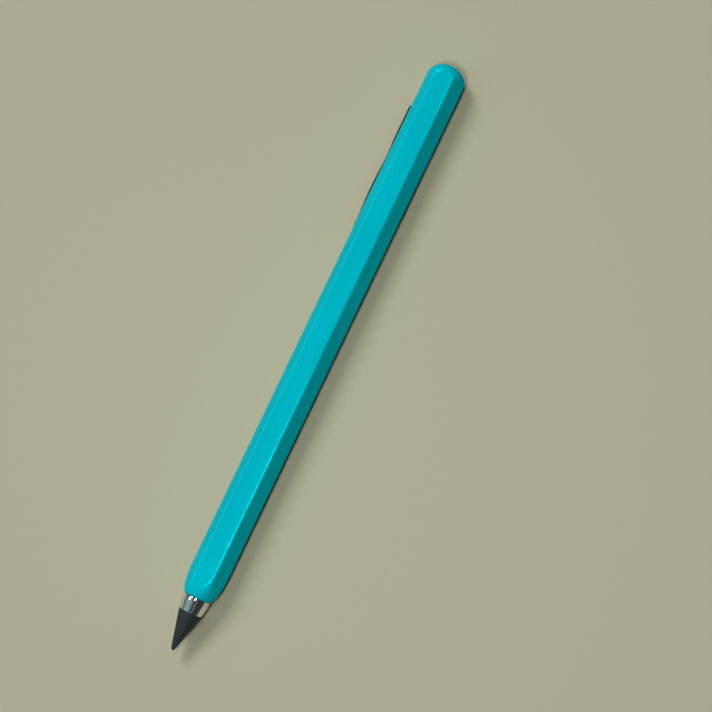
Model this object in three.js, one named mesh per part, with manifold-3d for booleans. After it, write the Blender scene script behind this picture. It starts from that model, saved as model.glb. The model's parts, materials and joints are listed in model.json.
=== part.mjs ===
// Infinity pencil: a hexagonal barrel with a screw-in nib unit and a flat pocket clip.
// It lies on one facet with the nib towards -X and the domed end towards +X.
// Millimetres, +Z up. The origin is the middle of the facet that the pencil lies on.

import * as THREE from "three";
import { mergeVertices } from "three/addons/utils/BufferGeometryUtils.js";
import Module from "manifold-3d";

const wasm = await Module();
wasm.setup();

// Driving dimensions: barrel
const barrelLength = 136.4;
const acrossFlats = 8.2;
const edgeRadius = 0.6;
const domeDepth = 3.8;
const domeExponent = 2.0; // 2 is an ellipse, more is blunter
const noseDepth = 6.4;
const noseExponent = 1.65;
const noseEndWall = 0.43; // round the mouth, at the nose's end
const boreStep = 0.32; // radial, behind the nose insert
const endWall = 2.5; // along the axis, at the domed end
const boreEndRound = 1.2;

// Driving dimensions: nib unit
const collarLength = 3.75;
const collarFrontRadius = 2.9;
const collarBevel = 0.12;
const coneLength = 9.75;
const coneTipRadius = 0.5;
const tenonRadius = 1.3;
const tenonLength = 2.0;
const collarInset = 0.05; // collar's back edge inside the nose's end edge
const stemLength = 6.6;
const neckRun = 0.1; // of the neck past the seal ring's space
const neckRelief = 0.12; // radial, of the neck under the thread's root
const stemChamfer = 0.4;

// Driving dimensions: thread, 4 mm across with a 0.7 mm pitch
const threadRadius = 2.0;
const threadDepth = 0.43;
const threadPitch = 0.7;
const rootFlatShare = 0.25; // of one pitch
const crestFlatShare = 0.125; // of one pitch

// Driving dimensions: nose insert and seal ring
const insertLength = 7.4;
const insertWall = 0.8;
const insertGrooveWidth = 1.2;
const insertGrooveDepth = 0.25;
const ringThickness = 0.8;

// Driving dimensions: pocket clip
const clipFromDome = 11.9; // the dome's end to the clip's square end
const clipLength = 31.6;
const clipWidth = 3.0;
const clipThickness = 0.5;
const clipBendInside = 0.1; // inner radius of the sheet's bends
const clipRise = 0.7; // underside of the arm to the facet, at the root
const clipDip = 0.45;
const clipBelly = 0.72;
const clipTouch = 0.3;
const clipLip = 0.65;
const clipTipRadius = 1.2;
const tongueWidth = 2.0;
const footLength = 2.8;
const plugShoulder = 3.6; // length of the plug's full round before the foot
const plugBeyond = 2.2; // length of the plug past the clip's leg

// Named clearances
const pressClearance = 0.02; // radial, between pieces pressed together
const threadClearance = 0.1; // radial, between the two threads
const shoulderGap = 0.1; // collar's back face to the barrel's nose
const ringGap = 0.1; // ring to the faces before and behind it
const neckGap = 0.15; // ring to the neck inside it
const ringSideGap = 0.37; // ring to the barrel's mouth round it
const socketGap = 0.1; // tenon's end to the socket's floor
const slotGap = 0.2; // clip's leg to the slot's ends
const slotSideGap = 0.15; // clip's tongue to the slot's sides
const shoulderRise = 0.3; // clip's shoulders to the facet
const footGap = 0.3; // clip's foot to the bore, so that it can rock
const plugGap = 0.1; // clip's foot to the plug's flat

// Facets on round and curved surfaces
const turnedSegments = 48;
const threadSegments = 24;
const profileSteps = 9;
const edgeSteps = 4;
const bendSteps = 5;
const armSteps = 22;

// Worked out from the driving dimensions
const facetCount = 6;
const facetAngle = (2 * Math.PI) / facetCount;
const axisHeight = acrossFlats / 2;
const overallLength = coneLength + collarLength + shoulderGap + barrelLength;
const tipX = -overallLength / 2;
const coneBaseX = tipX + coneLength;
const collarBackX = coneBaseX + collarLength;
const noseX = collarBackX + shoulderGap;
const domeX = noseX + barrelLength;
const cornerRadius = (axisHeight - edgeRadius) / Math.cos(facetAngle / 2) + edgeRadius;
const ringSpace = ringThickness + 2 * ringGap;
const insertFrontX = collarBackX + ringSpace;
const insertBackX = insertFrontX + insertLength;
const insertRadius = threadRadius + threadClearance + insertWall;
const mouthRadius = insertRadius + pressClearance;
const boreRadius = mouthRadius - boreStep;
const noseEndRadius = mouthRadius + noseEndWall;
const neckLength = ringSpace + neckRun;
const neckRadius = threadRadius - threadDepth - neckRelief;
const collarBackRadius = noseEndRadius - collarInset;
const clipRootX = domeX - clipFromDome;
const legX = clipRootX - clipThickness / 2;
const footEndX = legX - footLength;
const footOuter = Math.sqrt(boreRadius ** 2 - (tongueWidth / 2) ** 2) - footGap;

// The clip stands on the facet whose outward normal points down and to the side: this turns +Z to it.
const clipFacetTurn = -2 * facetAngle;

// Colours
const turquoise = 0x00adbd;
const chromeColour = 0xd8dadc;
const graphiteColour = 0x2a3132;
const blackSteel = 0x17191a;
const brassColour = 0xb08d4a;
const rubberColour = 0x1c1c1c;
const nylonColour = 0xd9d6cc;

function material(color, roughness, metalness) {
  return new THREE.MeshStandardMaterial({ color, roughness, metalness });
}

// A closed geometry as a manifold-3d solid.
function solid(geometry) {
  const bare = geometry.clone();
  bare.deleteAttribute("normal");
  bare.deleteAttribute("uv");
  const merged = mergeVertices(bare, 1e-5);
  return new wasm.Manifold(
    new wasm.Mesh({
      numProp: 3,
      vertProperties: new Float32Array(merged.attributes.position.array),
      triVerts: new Uint32Array(merged.index.array),
    }),
  );
}

// A manifold-3d solid as a named mesh with its own material.
function namedMesh(name, body, finish) {
  const made = body.getMesh();
  const geometry = new THREE.BufferGeometry();
  geometry.setAttribute("position", new THREE.BufferAttribute(made.vertProperties, 3));
  geometry.setIndex(new THREE.BufferAttribute(made.triVerts, 1));
  geometry.computeVertexNormals();
  const mesh = new THREE.Mesh(geometry, finish);
  mesh.name = name;
  return mesh;
}

// A solid of revolution about X. The profile is [x, radius] pairs in the order of rising x.
function turned(profile, segments = turnedSegments) {
  const points = profile.map(([x, radius]) => new THREE.Vector2(radius, x));
  const geometry = new THREE.LatheGeometry(points, segments);
  geometry.rotateZ(-Math.PI / 2);
  return solid(geometry);
}

// A straight round rod on the X axis.
function rod(fromX, toX, radius, segments = turnedSegments) {
  return turned([[fromX, 0], [fromX, radius], [toX, radius], [toX, 0]], segments);
}

// An outline drawn in X and Z, thickened evenly to both sides along Y.
function plate(points, width) {
  const shape = new THREE.Shape(points);
  const geometry = new THREE.ExtrudeGeometry(shape, { depth: width, bevelEnabled: false });
  geometry.translate(0, 0, -width / 2);
  geometry.rotateX(Math.PI / 2);
  return solid(geometry);
}

// A quarter of a superellipse from its end, at depth 0, to its full radius, as [depth, radius] pairs.
function roundedEnd(depth, endRadius, fullRadius, exponent) {
  const pairs = [];
  for (let step = 0; step <= profileSteps; step += 1) {
    const angle = (step / profileSteps) * (Math.PI / 2);
    const along = 1 - Math.cos(angle) ** (2 / exponent);
    const outward = Math.sin(angle) ** (2 / exponent);
    pairs.push([depth * along, endRadius + (fullRadius - endRadius) * outward]);
  }
  return pairs;
}

// The hexagonal bar with rounded long edges.
function hexagonalBar() {
  const shape = new THREE.Shape();
  const centreDistance = (axisHeight - edgeRadius) / Math.cos(facetAngle / 2);
  for (let corner = 0; corner < facetCount; corner += 1) {
    const middle = corner * facetAngle;
    const centreY = centreDistance * Math.cos(middle);
    const centreZ = centreDistance * Math.sin(middle);
    shape.absarc(centreY, centreZ, edgeRadius, middle - facetAngle / 2, middle + facetAngle / 2, false);
  }
  const geometry = new THREE.ExtrudeGeometry(shape, {
    depth: barrelLength,
    curveSegments: edgeSteps,
    bevelEnabled: false,
  });
  // The outline's first axis becomes Y, its second Z and the extrusion X.
  geometry.applyMatrix4(new THREE.Matrix4().set(0, 0, 1, noseX, 1, 0, 0, 0, 0, 1, 0, 0, 0, 0, 0, 1));
  return solid(geometry);
}

// The turned envelope that rounds the nose and the domed end.
function barrelEnvelope() {
  const fullRadius = cornerRadius / Math.cos(Math.PI / turnedSegments);
  const nose = roundedEnd(noseDepth, noseEndRadius, fullRadius, noseExponent);
  const dome = roundedEnd(domeDepth, 0, fullRadius, domeExponent);
  const profile = [[noseX, 0]];
  nose.forEach(([depth, radius]) => profile.push([noseX + depth, radius]));
  dome.reverse().forEach(([depth, radius]) => profile.push([domeX - depth, radius]));
  return turned(profile);
}

// The blind bore, with a wider mouth that ends in a step for the nose insert.
function barrelBore() {
  const floorX = domeX - endWall;
  const profile = [
    [noseX - shoulderGap, 0],
    [noseX - shoulderGap, mouthRadius],
    [insertBackX, mouthRadius],
    [insertBackX, boreRadius],
  ];
  for (let step = 0; step <= bendSteps; step += 1) {
    const angle = (step / bendSteps) * (Math.PI / 2);
    const along = boreEndRound * (1 - Math.sin(angle));
    const inward = boreEndRound * (1 - Math.cos(angle));
    profile.push([floorX - along, boreRadius - inward]);
  }
  profile.push([floorX, 0]);
  return turned(profile);
}

// The slot in the wall that the clip's leg passes through, turned to the clip's facet.
function clipSlot() {
  const length = clipThickness + 2 * slotGap;
  const width = tongueWidth + 2 * slotSideGap;
  const depth = cornerRadius;
  const geometry = new THREE.BoxGeometry(length, width, depth);
  geometry.translate(legX, 0, boreRadius / 2 + depth / 2);
  geometry.rotateX(clipFacetTurn);
  return solid(geometry);
}

function barrel() {
  const body = hexagonalBar().intersect(barrelEnvelope()).subtract(barrelBore()).subtract(clipSlot());
  return namedMesh("barrel", body, material(turquoise, 0.22, 0.0));
}

// A right-handed thread as a closed solid on the X axis. Each column of vertices stands one step of the
// helix further along than the one before, so a turn's last column meets its first one pitch on.
function threadedCore(startX, turns, extraRadius) {
  const crest = threadRadius + extraRadius;
  const root = crest - threadDepth;
  const flankShare = (1 - rootFlatShare - crestFlatShare) / 2;
  const profile = [
    [0, root],
    [rootFlatShare, root],
    [rootFlatShare + flankShare, crest],
    [1 - flankShare, crest],
  ];
  const rows = turns * profile.length + 1;
  const positions = [];
  for (let column = 0; column < threadSegments; column += 1) {
    const angle = (2 * Math.PI * column) / threadSegments;
    for (let row = 0; row < rows; row += 1) {
      const [share, radius] = profile[row % profile.length];
      const pitches = column / threadSegments + Math.floor(row / profile.length) + share;
      const x = startX + threadPitch * pitches;
      positions.push(x, radius * Math.cos(angle), radius * Math.sin(angle));
    }
  }
  const startPoint = positions.length / 3;
  const endPoint = startPoint + 1;
  positions.push(startX - threadPitch, 0, 0);
  positions.push(startX + threadPitch * (turns + 2), 0, 0);

  const indices = [];
  for (let column = 0; column < threadSegments; column += 1) {
    const last = column === threadSegments - 1;
    const shift = last ? profile.length : 0;
    const here = column * rows;
    const next = last ? 0 : here + rows;
    const top = rows - 1;
    for (let row = 0; row < top - shift; row += 1) {
      const ahead = next + row + shift;
      indices.push(here + row, ahead, here + row + 1);
      indices.push(here + row + 1, ahead, ahead + 1);
    }
    indices.push(startPoint, next + shift, here);
    indices.push(endPoint, here + top - shift, next + top);
  }
  for (let row = 0; row < profile.length; row += 1) {
    const seam = (threadSegments - 1) * rows + rows - 1;
    indices.push(startPoint, row, row + 1);
    indices.push(endPoint, seam - row, seam - row - 1);
  }
  const geometry = new THREE.BufferGeometry();
  geometry.setAttribute("position", new THREE.Float32BufferAttribute(positions, 3));
  geometry.setIndex(indices);
  return solid(geometry);
}

// Both threads start on the same helix, a few turns before the insert, so that they are in mesh.
function threadFor(extraRadius) {
  const spareTurns = 3;
  const startX = insertFrontX - spareTurns * threadPitch;
  const turns = Math.ceil(Math.max(insertLength, stemLength) / threadPitch) + 2 * spareTurns;
  return threadedCore(startX, turns, extraRadius);
}

function noseInsert() {
  const middleX = (insertFrontX + insertBackX) / 2;
  const grooveRadius = insertRadius - insertGrooveDepth;
  const outside = turned([
    [insertFrontX, 0],
    [insertFrontX, insertRadius],
    [middleX - insertGrooveWidth / 2, insertRadius],
    [middleX - insertGrooveWidth / 2, grooveRadius],
    [middleX + insertGrooveWidth / 2, grooveRadius],
    [middleX + insertGrooveWidth / 2, insertRadius],
    [insertBackX, insertRadius],
    [insertBackX, 0],
  ]);
  const body = outside.subtract(threadFor(threadClearance));
  return namedMesh("nose_insert", body, material(brassColour, 0.35, 0.9));
}

// The collar with its threaded stem and the socket for the cone's tenon.
function nibCollar() {
  const stemEndX = collarBackX + stemLength;
  const threadStartX = collarBackX + neckLength;
  const collar = turned([
    [coneBaseX, 0],
    [coneBaseX, collarFrontRadius - collarBevel],
    [coneBaseX + collarBevel, collarFrontRadius],
    [collarBackX - collarBevel, collarBackRadius],
    [collarBackX, collarBackRadius - collarBevel],
    [collarBackX, 0],
  ]);
  const stemEnvelope = turned(
    [
      [threadStartX, 0],
      [threadStartX, neckRadius],
      [threadStartX + stemChamfer, threadRadius],
      [stemEndX - stemChamfer, threadRadius],
      [stemEndX, threadRadius - stemChamfer],
      [stemEndX, 0],
    ],
    threadSegments,
  );
  const neck = rod(coneBaseX + collarLength / 2, threadStartX + stemChamfer, neckRadius);
  const socket = rod(
    coneBaseX - socketGap,
    coneBaseX + tenonLength + socketGap,
    tenonRadius + pressClearance,
  );
  const body = threadFor(0).intersect(stemEnvelope).add(neck).add(collar).subtract(socket);
  return namedMesh("nib_collar", body, material(chromeColour, 0.08, 1.0));
}

// The cone with a ball-rounded point and a tenon behind.
function nibCone() {
  const halfAngle = coneHalfAngle();
  const ballX = tipX + coneTipRadius;
  const profile = [];
  for (let step = 0; step <= bendSteps; step += 1) {
    const angle = (step / bendSteps) * (Math.PI / 2 - halfAngle);
    profile.push([ballX - coneTipRadius * Math.cos(angle), coneTipRadius * Math.sin(angle)]);
  }
  profile.push([coneBaseX, collarFrontRadius]);
  profile.push([coneBaseX, tenonRadius]);
  profile.push([coneBaseX + tenonLength, tenonRadius]);
  profile.push([coneBaseX + tenonLength, 0]);
  return namedMesh("nib_cone", turned(profile), material(graphiteColour, 0.6, 0.2));
}

// The half angle at which a straight side from the base's edge touches the point's ball.
function coneHalfAngle() {
  const run = coneLength - coneTipRadius;
  const reach = Math.hypot(run, collarFrontRadius);
  return Math.atan2(collarFrontRadius, run) - Math.asin(coneTipRadius / reach);
}

function sealRing() {
  const fromX = collarBackX + ringGap;
  const toX = fromX + ringThickness;
  const hole = rod(fromX - ringGap, toX + ringGap, neckRadius + neckGap);
  const body = rod(fromX, toX, mouthRadius - ringSideGap).subtract(hole);
  return namedMesh("seal_ring", body, material(rubberColour, 0.8, 0.0));
}

// The middle line of the clip's sheet in X and Z, from the foot's end round the leg to the lip.
function clipMiddleLine() {
  const half = clipThickness / 2;
  const footZ = footOuter - half;
  const armZ = axisHeight + half;
  const bend = clipBendInside + half;
  const arc = (x, z, from, to) => {
    const curve = new THREE.EllipseCurve(x, z, bend, bend, from, to, to < from);
    return curve.getPoints(bendSteps);
  };
  const foot = new THREE.Vector2(footEndX, footZ);
  const heel = arc(legX - bend, footZ + bend, -Math.PI / 2, 0);
  const shoulder = arc(legX - bend, armZ + clipRise - bend, 0, Math.PI / 2);
  // Shares of the clip's length from its root, with the underside's height over the facet there.
  const stations = [
    [0.26, clipRise],
    [0.4, clipDip],
    [0.68, clipBelly],
    [0.93, clipTouch],
    [1.0, clipLip],
  ];
  const arm = [shoulder[shoulder.length - 1]];
  stations.forEach(([share, rise]) => {
    arm.push(new THREE.Vector2(clipRootX - share * clipLength, armZ + rise));
  });
  const armPoints = new THREE.SplineCurve(arm).getPoints(armSteps).slice(1);
  return [foot, ...heel, ...shoulder, ...armPoints];
}

// The outline of a sheet that follows a middle line, half its thickness to either side.
function sheetOutline(middle, thickness) {
  const side = (sign) =>
    middle.map((point, index) => {
      const before = middle[Math.max(index - 1, 0)];
      const after = middle[Math.min(index + 1, middle.length - 1)];
      const along = after.clone().sub(before).normalize();
      return new THREE.Vector2(
        point.x - (sign * along.y * thickness) / 2,
        point.y + (sign * along.x * thickness) / 2,
      );
    });
  return [...side(1), ...side(-1).reverse()];
}

// What the clip's width leaves: full width over the facet, rounded at the tip, and the tongue below.
function clipPlan() {
  const tipEndX = clipRootX - clipLength - clipThickness;
  const arm = new THREE.Shape();
  const halfWidth = clipWidth / 2;
  const round = Math.min(clipTipRadius, halfWidth);
  arm.moveTo(clipRootX + clipThickness, -halfWidth);
  arm.lineTo(clipRootX + clipThickness, halfWidth);
  arm.lineTo(tipEndX + round, halfWidth);
  arm.absarc(tipEndX + round, halfWidth - round, round, Math.PI / 2, Math.PI, false);
  arm.absarc(tipEndX + round, round - halfWidth, round, Math.PI, 1.5 * Math.PI, false);
  const upper = new THREE.ExtrudeGeometry(arm, {
    depth: cornerRadius,
    curveSegments: bendSteps,
    bevelEnabled: false,
  });
  upper.translate(0, 0, axisHeight + shoulderRise);
  const tongueLength = footLength + 2 * clipThickness;
  const tongueHeight = axisHeight + shoulderRise;
  const lower = new THREE.BoxGeometry(tongueLength, tongueWidth, tongueHeight + clipThickness);
  lower.translate(clipRootX + clipThickness - tongueLength / 2, 0, (tongueHeight + clipThickness) / 2);
  return solid(upper).add(solid(lower));
}

function pocketClip() {
  const sheet = plate(sheetOutline(clipMiddleLine(), clipThickness), clipWidth);
  return namedMesh("pocket_clip", sheet.intersect(clipPlan()), material(blackSteel, 0.4, 0.6));
}

// A round plug with a flat that keeps the clip's foot against the wall.
function clipLockPlug() {
  const stepX = footEndX - slotGap;
  const endX = clipRootX + plugBeyond;
  const flatZ = footOuter - clipThickness - plugGap;
  const round = rod(stepX - plugShoulder, endX, boreRadius - pressClearance);
  const flatLength = 2 * (endX - stepX);
  const above = new THREE.BoxGeometry(flatLength, 2 * boreRadius, 2 * boreRadius);
  above.translate(stepX + flatLength / 2, 0, flatZ + boreRadius);
  return namedMesh("clip_lock_plug", round.subtract(solid(above)), material(nylonColour, 0.6, 0.0));
}

function assembly() {
  const clipSide = new THREE.Group();
  clipSide.rotation.x = clipFacetTurn;
  clipSide.add(pocketClip(), clipLockPlug());

  const nibUnit = new THREE.Group();
  nibUnit.add(nibCollar(), nibCone());

  const pencil = new THREE.Group();
  pencil.position.z = axisHeight;
  pencil.add(barrel(), noseInsert(), sealRing(), nibUnit, clipSide);
  return pencil;
}

export default assembly();
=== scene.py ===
"""An infinity pencil: a lacquered hexagonal barrel, a screw-in graphite nib and a sprung pocket clip.

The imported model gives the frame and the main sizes. Every surface here is a function of two
parameters worked out with numpy. Lengths are in millimetres until a mesh is written, in metres.
"""

import json
import logging
import math
from dataclasses import dataclass
from enum import Enum
from typing import Sequence

import bpy
import numpy as np
from mathutils import Matrix, Vector

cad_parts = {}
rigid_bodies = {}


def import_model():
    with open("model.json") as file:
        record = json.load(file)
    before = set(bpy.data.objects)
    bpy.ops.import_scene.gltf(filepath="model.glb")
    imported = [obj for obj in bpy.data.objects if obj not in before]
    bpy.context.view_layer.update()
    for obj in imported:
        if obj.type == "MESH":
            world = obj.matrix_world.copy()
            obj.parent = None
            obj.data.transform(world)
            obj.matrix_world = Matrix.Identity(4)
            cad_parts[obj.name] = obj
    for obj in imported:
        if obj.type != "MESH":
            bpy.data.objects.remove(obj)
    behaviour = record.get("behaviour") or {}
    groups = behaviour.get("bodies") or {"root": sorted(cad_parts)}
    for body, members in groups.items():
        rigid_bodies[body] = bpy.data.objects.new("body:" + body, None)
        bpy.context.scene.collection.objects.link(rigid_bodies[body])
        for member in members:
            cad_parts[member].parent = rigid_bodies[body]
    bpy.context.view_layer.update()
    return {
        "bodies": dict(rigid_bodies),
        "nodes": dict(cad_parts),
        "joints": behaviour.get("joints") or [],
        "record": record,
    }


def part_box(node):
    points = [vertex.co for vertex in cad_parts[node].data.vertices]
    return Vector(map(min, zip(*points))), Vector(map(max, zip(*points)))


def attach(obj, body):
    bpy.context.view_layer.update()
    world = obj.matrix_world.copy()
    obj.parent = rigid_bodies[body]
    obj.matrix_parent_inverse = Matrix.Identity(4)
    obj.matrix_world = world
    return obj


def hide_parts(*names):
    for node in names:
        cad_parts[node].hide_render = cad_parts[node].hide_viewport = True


MM = 0.001
LOG = logging.getLogger("infinity_pencil")

Colour = tuple[float, float, float]


class Body(Enum):
    """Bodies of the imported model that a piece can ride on."""

    BARREL = "barrel"
    SEAL_RING = "seal_ring"
    NIB_UNIT = "nib_unit"
    POCKET_CLIP = "pocket_clip"


class Slot(Enum):
    """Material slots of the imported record."""

    LACQUER = "turquoise_lacquer"
    CHROME = "chrome_plate"
    GRAPHITE = "graphite_alloy"
    SPRING_STEEL = "black_spring_steel"
    BRASS = "brass"
    RUBBER = "black_rubber"
    NYLON = "natural_nylon"


# Frame


@dataclass(frozen=True)
class Layout:
    """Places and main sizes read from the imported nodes, in millimetres."""

    tip_x: float
    cone_base_x: float
    collar_back_radius: float
    stem_end_x: float
    nose_x: float
    dome_x: float
    axis_z: float
    half_flats: float
    corner_radius: float
    ring_front_x: float
    ring_back_x: float
    ring_radius: float
    insert_front_x: float
    insert_back_x: float
    insert_radius: float
    clip_root_x: float

    @classmethod
    def measured(cls) -> "Layout":
        """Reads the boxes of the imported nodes.

        Returns:
            The layout of the pencil at rest.
        """
        nodes = ("barrel", "nib_cone", "nib_collar", "seal_ring", "nose_insert", "pocket_clip")
        boxes = {node: tuple(np.array(corner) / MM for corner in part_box(node)) for node in nodes}
        barrel_low, barrel_high = boxes["barrel"]
        collar_low, collar_high = boxes["nib_collar"]
        ring_low, ring_high = boxes["seal_ring"]
        insert_low, insert_high = boxes["nose_insert"]
        return cls(
            tip_x=boxes["nib_cone"][0][0],
            cone_base_x=collar_low[0],
            collar_back_radius=(collar_high[1] - collar_low[1]) / 2,
            stem_end_x=collar_high[0],
            nose_x=barrel_low[0],
            dome_x=barrel_high[0],
            axis_z=(barrel_low[2] + barrel_high[2]) / 2,
            half_flats=(barrel_high[2] - barrel_low[2]) / 2,
            corner_radius=(barrel_high[1] - barrel_low[1]) / 2,
            ring_front_x=ring_low[0],
            ring_back_x=ring_high[0],
            ring_radius=(ring_high[1] - ring_low[1]) / 2,
            insert_front_x=insert_low[0],
            insert_back_x=insert_high[0],
            insert_radius=(insert_high[1] - insert_low[1]) / 2,
            clip_root_x=boxes["pocket_clip"][1][0],
        )


# Surfaces


def grid_quads(rows: int, columns: int) -> np.ndarray:
    """Corners of the faces of a grid of closed rings, numbered row by row.

    Args:
        rows: Number of rings.
        columns: Points in each ring.

    Returns:
        Vertex numbers shaped (rows, columns, 4). The last row leads back to the first ring.
    """
    index = np.arange(rows * columns).reshape(rows, columns)
    ahead = np.roll(index, -1, axis=1)
    return np.stack([index, ahead, np.roll(ahead, -1, axis=0), np.roll(index, -1, axis=0)], axis=-1)


@dataclass
class Skin:
    """A closed surface: rings of points from one pole to the other.

    Each row of points is a closed ring, and all rows have as many points. With the columns
    turning from +Y to +Z and the rows running towards +X, the faces point outwards.
    """

    points: np.ndarray
    start_pole: np.ndarray
    end_pole: np.ndarray

    def faces(self) -> tuple[np.ndarray, np.ndarray]:
        """Works out the corners of every face.

        Returns:
            The quads between the rings, shaped (rows - 1, columns, 4), and the triangles at
            the two poles, shaped (2 * columns, 3).
        """
        rows, columns = self.points.shape[:2]
        quads = grid_quads(rows, columns)
        start, end = rows * columns, rows * columns + 1
        first = np.stack([np.full(columns, start), quads[0, :, 1], quads[0, :, 0]], axis=-1)
        last = np.stack([quads[-1, :, 0], quads[-1, :, 1], np.full(columns, end)], axis=-1)
        return quads[:-1], np.concatenate([first, last])

    def vertices(self) -> np.ndarray:
        """All points, with the two poles last."""
        poles = np.stack([self.start_pole, self.end_pole])
        return np.concatenate([self.points.reshape(-1, 3), poles])


def mesh_piece(
    name: str, vertices: np.ndarray, faces: Sequence[Sequence[int]], sharp: float = 35.0
) -> bpy.types.Object:
    """Makes a smooth-shaded object whose origin is the frame's.

    Args:
        name: Name of the object and its mesh.
        vertices: Points in millimetres, shaped (count, 3).
        faces: Corner indices of each face.
        sharp: Angle in degrees above which an edge is shaded sharp.

    Returns:
        The new object, linked to the scene.
    """
    mesh = bpy.data.meshes.new(name)
    mesh.from_pydata((vertices * MM).tolist(), [], faces)
    mesh.validate()
    mesh.shade_smooth()
    mesh.set_sharp_from_angle(angle=math.radians(sharp))
    made = bpy.data.objects.new(name, mesh)
    bpy.context.scene.collection.objects.link(made)
    return made


def skin_piece(name: str, skin: Skin, sharp: float) -> bpy.types.Object:
    """Makes an object from a whole skin.

    Args:
        name: Name of the object.
        skin: The closed surface.
        sharp: Angle in degrees above which an edge is shaded sharp.

    Returns:
        The new object.
    """
    quads, triangles = skin.faces()
    faces = quads.reshape(-1, 4).tolist() + triangles.tolist()
    return mesh_piece(name, skin.vertices(), faces, sharp)


def turned_skin(x: np.ndarray, radius: np.ndarray, angle: np.ndarray, axis_z: float) -> Skin:
    """A surface about the pencil's axis: a point stands at x, radius * cos(angle), radius * sin(angle).

    Args:
        x: Places along the axis, one per row or shaped (rows, columns).
        radius: Distances from the axis, one per row or shaped (rows, columns).
        angle: Angles from +Y towards +Z, one per column or shaped (rows, columns).
        axis_z: Height of the axis.

    Returns:
        The skin, closed by a point on the axis at either end.
    """
    columns = angle.shape[-1]
    x_grid = np.broadcast_to(x[:, None] if x.ndim == 1 else x, (x.shape[0], columns))
    radius_grid = radius[:, None] if radius.ndim == 1 else radius
    points = np.stack(
        [x_grid, radius_grid * np.cos(angle), axis_z + radius_grid * np.sin(angle)], axis=-1
    )
    start = np.array([x_grid[0, 0], 0.0, axis_z])
    end = np.array([x_grid[-1, 0], 0.0, axis_z])
    return Skin(points, start, end)


def full_turn(columns: int) -> np.ndarray:
    """Evenly spaced angles of one full turn."""
    return np.arange(columns) * (2 * np.pi / columns)


def arc(centre: tuple[float, float], radius: float, start: float, end: float, steps: int) -> np.ndarray:
    """Points of an arc in the (x, radius) plane: centre + radius * (cos, sin).

    Args:
        centre: Centre of the arc.
        radius: Its radius.
        start: First angle in degrees.
        end: Last angle in degrees.
        steps: Number of steps.

    Returns:
        Points shaped (steps + 1, 2).
    """
    angle = np.radians(np.linspace(start, end, steps + 1))
    return np.stack([centre[0] + radius * np.cos(angle), centre[1] + radius * np.sin(angle)], axis=-1)


def span(start: Sequence[float], end: Sequence[float], steps: int) -> np.ndarray:
    """Evenly spaced points of a straight stretch, its last point left to the next stretch.

    Args:
        start: First point.
        end: Last point, which isn't returned.
        steps: Number of points.

    Returns:
        Points shaped (steps, 2).
    """
    share = np.arange(steps)[:, None] / steps
    return (1 - share) * np.array(start) + share * np.array(end)


def polyline(*corners: tuple[float, float, int]) -> np.ndarray:
    """Straight stretches from corner to corner, the last corner left to what follows.

    Args:
        *corners: Place along the axis and radius of each corner, and the number of points on
            the stretch that starts there.

    Returns:
        Points shaped (count, 2).
    """
    pairs = zip(corners[:-1], corners[1:])
    return np.concatenate([span(start[:2], end[:2], start[2]) for start, end in pairs])


def smooth_minimum(first: np.ndarray, second: np.ndarray, width: np.ndarray) -> np.ndarray:
    """The smaller of two values, rounded where they lie within width of each other.

    It is min(a, b) - h * h / (4 * width), where h = max(width - |a - b|, 0).

    Args:
        first: First values.
        second: Second values.
        width: Width of the rounding, above 0.

    Returns:
        The rounded minimum.
    """
    near = np.maximum(width - np.abs(first - second), 0.0)
    return np.minimum(first, second) - near * near / (4 * width)


def smooth_step(value: np.ndarray, low: float, high: float) -> np.ndarray:
    """A soft ramp from 0 at low to 1 at high: t * t * (3 - 2 * t)."""
    share = np.clip((value - low) / (high - low), 0.0, 1.0)
    return share * share * (3 - 2 * share)


def set_attribute(piece: bpy.types.Object, name: str, values: np.ndarray) -> None:
    """Stores one number per vertex for a finish to read.

    Args:
        piece: The object.
        name: Name of the attribute.
        values: One value for each of the first vertices; the rest get 0.
    """
    full = np.zeros(len(piece.data.vertices), np.float32)
    full[: values.size] = values.ravel()
    piece.data.attributes.new(name, "FLOAT", "POINT").data.foreach_set("value", full)


# Shader maths


class Value:
    """A number socket on which Python arithmetic adds Math nodes."""

    def __init__(self, graph: "Graph", socket: bpy.types.NodeSocket) -> None:
        """Wraps one output socket of a graph's node."""
        self.graph = graph
        self.socket = socket

    def maths(self, operation: str, *operands: "Value | float") -> "Value":
        """Adds a Math node.

        Args:
            operation: Blender's name of the operation.
            *operands: Its inputs in order.

        Returns:
            The node's result.
        """
        node = self.graph.node("ShaderNodeMath", {"operation": operation}, dict(enumerate(operands)))
        return Value(self.graph, node.outputs[0])

    def __add__(self, other: "Value | float") -> "Value":
        """self + other."""
        return self.maths("ADD", self, other)

    def __radd__(self, other: float) -> "Value":
        """other + self."""
        return self.maths("ADD", other, self)

    def __sub__(self, other: "Value | float") -> "Value":
        """self - other."""
        return self.maths("SUBTRACT", self, other)

    def __rsub__(self, other: float) -> "Value":
        """other - self."""
        return self.maths("SUBTRACT", other, self)

    def __mul__(self, other: "Value | float") -> "Value":
        """self * other."""
        return self.maths("MULTIPLY", self, other)

    def __rmul__(self, other: float) -> "Value":
        """other * self."""
        return self.maths("MULTIPLY", other, self)

    def ramp(self, low: float, high: float) -> "Value":
        """A soft ramp from 0 at low to 1 at high.

        Args:
            low: Where the ramp starts.
            high: Where it ends.

        Returns:
            The ramp's value.
        """
        inputs = {"Value": self, "From Min": low, "From Max": high}
        node = self.graph.node("ShaderNodeMapRange", {"interpolation_type": "SMOOTHSTEP"}, inputs)
        return Value(self.graph, node.outputs["Result"])


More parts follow.
